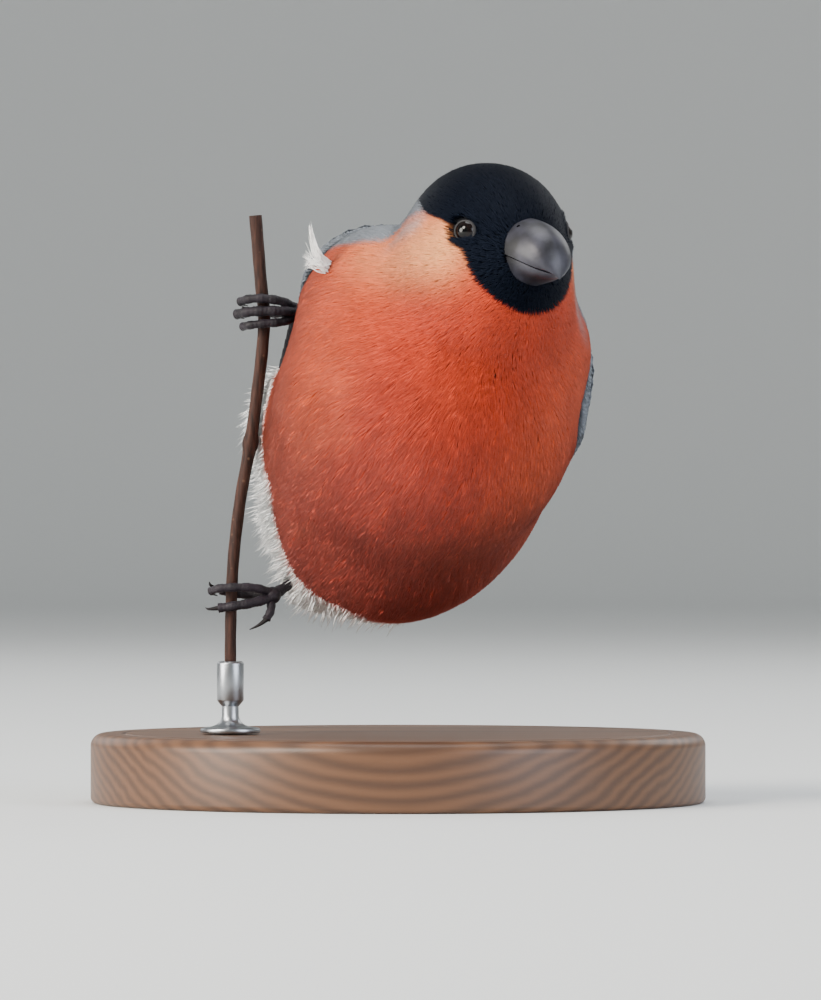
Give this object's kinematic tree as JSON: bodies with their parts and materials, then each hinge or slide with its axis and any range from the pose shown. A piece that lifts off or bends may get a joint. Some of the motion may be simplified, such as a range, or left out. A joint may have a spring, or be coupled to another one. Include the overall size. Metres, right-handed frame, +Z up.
{
  "type": "bullfinch",
  "caption": "Life-size still model of a male bullfinch clinging sideways to an upright cut stem, head turned aside, held over a plain round base by a short rod.",
  "frame": {"origin": "centre of the base's underside", "axes": "+X to the viewer's right in the picture's view, +Y away from the viewer, along which the tail points, +Z up"},
  "size_m": [0.124, 0.1408, 0.1274],
  "materials": {
    "plumage_black": "short glossy blue-black feathers",
    "plumage_red": "soft orange-red feathers",
    "plumage_white": "fluffy white feathers",
    "flight_feathers": "smooth blue-black vanes with a pale wing bar",
    "bill_horn": "slate-black horn with a dull shine",
    "eye": "wet, near black brown",
    "leg_skin": "matte dark scaled skin",
    "stem_bark": "thin matte bark",
    "base_wood": "oiled dark beech",
    "rod_steel": "fine brushed"
  },
  "bodies": {
    "root": {"head": "plumage_black", "neck": "plumage_red", "torso": "plumage_red", "rump": "plumage_white", "thigh_right": "plumage_white", "thigh_left": "plumage_white", "bill_upper": "bill_horn", "bill_lower": "bill_horn", "eye_left": "eye", "eye_right": "eye", "wing_left": "flight_feathers", "wing_right": "flight_feathers", "tail": "flight_feathers", "leg_right": "leg_skin", "leg_left": "leg_skin", "foot_right": "leg_skin", "foot_left": "leg_skin", "perch_stem": "stem_bark", "stand_base": "base_wood", "stand_rod": "rod_steel"}
  },
  "joints": []
}
